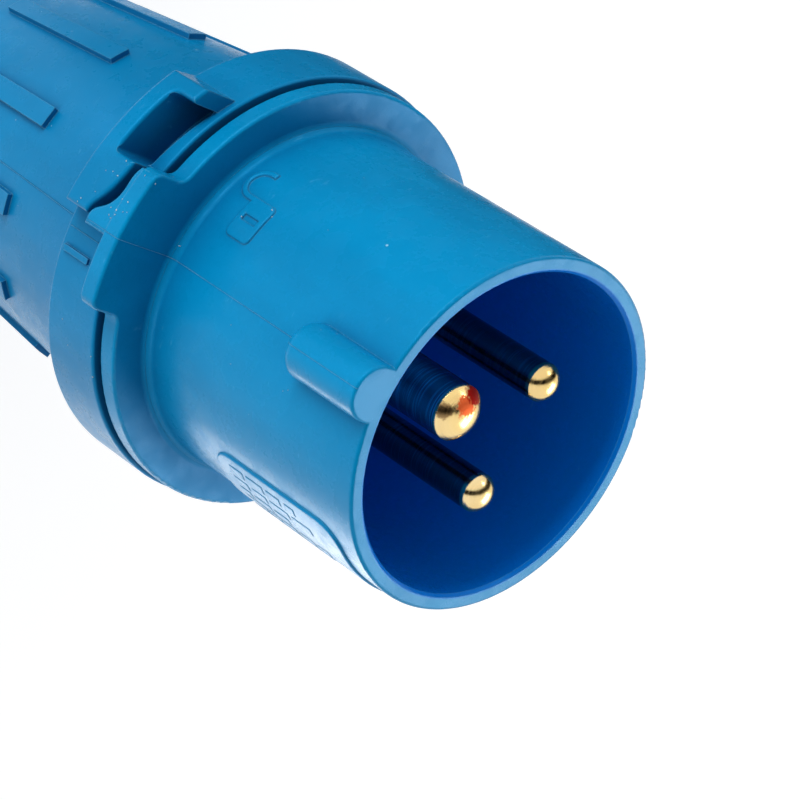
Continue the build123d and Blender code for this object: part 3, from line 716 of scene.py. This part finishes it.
def panel_bars():
    """Plain raised bars of uneven length, in rows on the side panel."""
    draw = random.Random(51)
    rows = (55.0, 60.0, 65.0, 70.0, 75.0, 80.0, 85.0)
    row_start = 15.0
    shortest = 1.4
    longest = 3.6
    half_width = 0.65
    height = 0.07
    bevel = 0.2
    sunk = 0.1
    steps = 8
    bars = []
    for angle in rows:
        low_z = row_start
        row_end = draw.uniform(26.0, 32.0)
        while low_z + shortest < row_end:
            high_z = min(low_z + draw.uniform(shortest, longest), row_end)
            bars.append((angle, low_z, high_z))
            low_z = high_z + draw.uniform(0.6, 1.0)
    points = []
    faces = []
    for angle, low_z, high_z in bars:
        base = len(points)
        rings = [(0.0, PANEL_R - sunk), (0.0, PANEL_R + height / 2), (bevel, PANEL_R + height)]
        for inset, radius in rings:
            wide = math.degrees((half_width - inset) / PANEL_R)
            for z, turn in ((low_z + inset, 1), (high_z - inset, -1)):
                for step in range(steps + 1):
                    share = turn * (2 * step / steps - 1)
                    points.append(key_point(radius, angle + wide * share, z))
        loop = 2 * (steps + 1)
        for ring in range(len(rings) - 1):
            for step in range(loop):
                following = (step + 1) % loop
                start = base + ring * loop
                above = start + loop
                faces.append((start + step, start + following, above + following, above + step))
        top = base + (len(rings) - 1) * loop
        for step in range(steps):
            faces.append((top + step, top + step + 1, top + loop - 2 - step, top + loop - 1 - step))
    return new_piece("panel_bars", points, faces, shroud_blue, "front", smooth=False)


# A flake's rings: height above the surface and share of its size
FLAKE_RINGS = ((-0.03, 1.0), (0.05, 0.75), (0.08, 0.3))


def flakes(name, node, spots, body, seed):
    """Specks of dust and burr that lie on a solid at places seen in the photograph."""
    draw = random.Random(seed)
    sides = 7
    points = []
    faces = []
    for across, down, size in spots:
        spot, outward = photo_spot(node, across, down)
        if spot is None:
            continue
        sideways = outward.orthogonal().normalized()
        forward = outward.cross(sideways)
        base = len(points)
        long_way = draw.uniform(0, math.pi)
        for level, share in FLAKE_RINGS:
            for side in range(sides):
                turn = 2 * math.pi * side / sides
                longer = 1 + 0.4 * math.cos(2 * (turn - long_way))
                reach = size * share * draw.uniform(0.7, 1.3) * longer * MM
                away = (sideways * math.cos(turn) + forward * math.sin(turn)) * reach
                points.append(spot + away + outward * level * MM)
        last = len(FLAKE_RINGS) - 1
        for level in range(last):
            start = base + level * sides
            above = start + sides
            for side in range(sides):
                following = (side + 1) % sides
                faces.append((start + side, start + following, above + following, above + side))
        faces.append(tuple(range(base + last * sides, base + (last + 1) * sides)))
        faces.append(tuple(reversed(range(base, base + sides))))
    return new_piece(name, points, faces, lint_white, body)


# Flakes: place in the photograph, across and down, and size in millimetres
FRONT_SPOTS = [
    (122.6, 199, 0.1), (128, 202, 0.12), (111, 207.4, 0.1), (116.4, 210, 0.14), (115, 214.6, 0.12),
    (109, 215, 0.09), (123, 212, 0.08), (127, 212.5, 0.08), (110.6, 218, 0.08), (145, 175.6, 0.09),
    (155.4, 184, 0.09), (179.7, 246, 0.1), (272, 210, 0.12), (272, 217, 0.12), (241.6, 216.6, 0.11),
    (231, 325, 0.07), (231, 364, 0.07), (288, 390, 0.07), (328, 230, 0.06), (364, 178, 0.06),
    (321, 330, 0.06), (283, 391, 0.06),
]
REAR_SPOTS = [
    (113, 171.5, 0.1), (117.7, 175.8, 0.12), (106, 170.6, 0.08), (95.4, 191.6, 0.08), (126.4, 161, 0.12),
    (81, 198, 0.1), (77.6, 201.4, 0.1), (91, 356.5, 0.1), (92.6, 377, 0.12), (62.5, 319, 0.09),
    (68, 345, 0.08), (90.5, 417.5, 0.08),
]
witness_ring()
gate_flash()
panel_bars()
flakes("dust_on_front", "front_housing", FRONT_SPOTS, "front", 41)
flakes("dust_on_rear", "rear_housing", REAR_SPOTS, "rear", 42)


# Floor, light and camera

camera_data = bpy.data.cameras.new("photo_camera")
camera_data.sensor_width = SENSOR_WIDTH
camera_data.lens = FOCAL_LENGTH
camera_data.clip_start = 0.01
camera = bpy.data.objects.new("photo_camera", camera_data)
bpy.context.scene.collection.objects.link(camera)
camera.matrix_world = Matrix.Translation(camera_spot) @ Matrix((right, up, back)).transposed().to_4x4()
bpy.context.scene.camera = camera


def soft_box(name, spot, towards, width, height, power, gloss_only=False):
    """A soft lamp at a place, facing another place, that isn't seen itself."""
    lamp = bpy.data.lights.new(name, "AREA")
    lamp.shape = "RECTANGLE"
    lamp.size = width
    lamp.size_y = height
    lamp.energy = power
    holder = bpy.data.objects.new(name, lamp)
    holder.visible_camera = False
    holder.visible_diffuse = not gloss_only
    bpy.context.scene.collection.objects.link(holder)
    turn = (spot - towards).to_track_quat("Z", "Y").to_matrix().to_4x4()
    holder.matrix_world = Matrix.Translation(spot) @ turn


key_spot = metres(-590, -690, 10)
fill_spot = metres(560, -700, 10)
table_spot = metres(168, 80, -90)
rim_direction = Vector((0.135, 0.752, 0.646))
window_direction = Vector((-0.765, 0.2, 0.612))
soft_box("key_box", key_spot, aim, width=0.7, height=0.2, power=4.8)
soft_box("fill_box", fill_spot, aim, width=0.7, height=0.2, power=1.6)
soft_box("table_glow", table_spot, table_spot + metres(0, 0, 1), width=0.12, height=0.13, power=0.12)
soft_box("rim_box", aim + rim_direction, aim, width=0.6, height=0.5, power=4.8)
soft_box("window_box", aim + window_direction, aim, width=0.22, height=0.22, power=0.6, gloss_only=True)

# The room's light near the horizon and overhead, and the dim strip that bright metal mirrors
AMBIENT = 0.55
AMBIENT_OVERHEAD = 0.32
OVERHEAD_FROM = 0.3
OVERHEAD_FULL = 0.95
STRIP_SIDE = (-0.853, -0.523, 0.0)
STRIP_MIDDLE = 0.18
STRIP_DARK = 0.16
STRIP_WHITE = 0.27


def seen_directly(tree):
    """1 for camera, glossy and transmission rays, which see the white studio; 0 for the rest."""
    path = add(tree, "ShaderNodeLightPath").outputs
    direct = calculate(tree, "MAXIMUM", path["Is Camera Ray"], path["Is Glossy Ray"])
    return calculate(tree, "MAXIMUM", direct, path["Is Transmission Ray"])


def studio_world():
    """White to look at, a plain soft level as light, and a dim strip that bright metal mirrors."""
    world = bpy.data.worlds.new("studio")
    bpy.context.scene.world = world
    world.use_nodes = True
    tree = world.node_tree
    background = tree.nodes["Background"].inputs
    background["Color"].default_value = (1.0, 1.0, 1.0, 1.0)
    toward = add(tree, "ShaderNodeTexCoord").outputs["Generated"]
    height = add(tree, "ShaderNodeSeparateXYZ")
    feed(tree, height.inputs[0], toward)
    ambient = fade(tree, height.outputs["Z"], OVERHEAD_FROM, OVERHEAD_FULL, AMBIENT, AMBIENT_OVERHEAD)
    sideways = add(tree, "ShaderNodeVectorMath", operation="DOT_PRODUCT", sockets={1: STRIP_SIDE})
    feed(tree, sideways.inputs[0], toward)
    aside = calculate(tree, "SUBTRACT", sideways.outputs["Value"], STRIP_MIDDLE)
    strip = fade(tree, calculate(tree, "ABSOLUTE", aside), STRIP_DARK, STRIP_WHITE)
    glossy = add(tree, "ShaderNodeLightPath").outputs["Is Glossy Ray"]
    dimmed = scaled(tree, glossy, calculate(tree, "SUBTRACT", strip, 1.0))
    level = calculate(tree, "SUBTRACT", total(tree, dimmed, 1.0), ambient)
    level = scaled(tree, level, seen_directly(tree))
    feed(tree, background["Strength"], total(tree, level, ambient))


def white_floor():
    """Pale floor that keeps the shadow and reads white where the light falls on it."""
    half = 6.0
    glow_from = 0.4
    glow_full = 1.5
    dim = 0.4
    bright = 0.62
    low = cad_bounds[0][2]
    mesh = bpy.data.meshes.new("floor")
    mesh.from_pydata([(-half, -half, low), (half, -half, low), (half, half, low), (-half, half, low)], [],
                     [(0, 1, 2, 3)])
    floor = bpy.data.objects.new("floor", mesh)
    bpy.context.scene.collection.objects.link(floor)
    material, tree, shader = new_material("floor_white", 0.9, Base_Color=(0.8, 0.8, 0.8, 1.0),
                                          Emission_Color=(1.0, 1.0, 1.0, 1.0))
    shader["Specular IOR Level"].default_value = 0.0
    away = add(tree, "ShaderNodeVectorMath", operation="LENGTH")
    feed(tree, away.inputs[0], add(tree, "ShaderNodeTexCoord").outputs["Object"])
    glow = fade(tree, away.outputs["Value"], glow_from, glow_full, dim, bright)
    feed(tree, shader["Emission Strength"], scaled(tree, seen_directly(tree), glow))
    mesh.materials.append(material)


def dark_card():
    """A dark card flat on the floor that only gloss sees, to keep the shroud's upper side deep in colour."""
    level = cad_bounds[0][2] + 2 * MM
    mesh = bpy.data.meshes.new("dark_card")
    corners = [(-330, -120), (-45, -120), (-45, 260), (-330, 260)]
    mesh.from_pydata([(x * MM, y * MM, level) for x, y in corners], [], [(0, 1, 2, 3)])
    card = bpy.data.objects.new("dark_card", mesh)
    bpy.context.scene.collection.objects.link(card)
    card.visible_camera = False
    card.visible_diffuse = False
    card.visible_shadow = False
    card.visible_transmission = False
    material, _, shader = new_material("card_black", 1.0, Base_Color=(0.03, 0.04, 0.05, 1.0))
    shader["Specular IOR Level"].default_value = 0.0
    mesh.materials.append(material)


studio_world()
white_floor()
dark_card()
bpy.context.scene.view_settings.view_transform = "Standard"
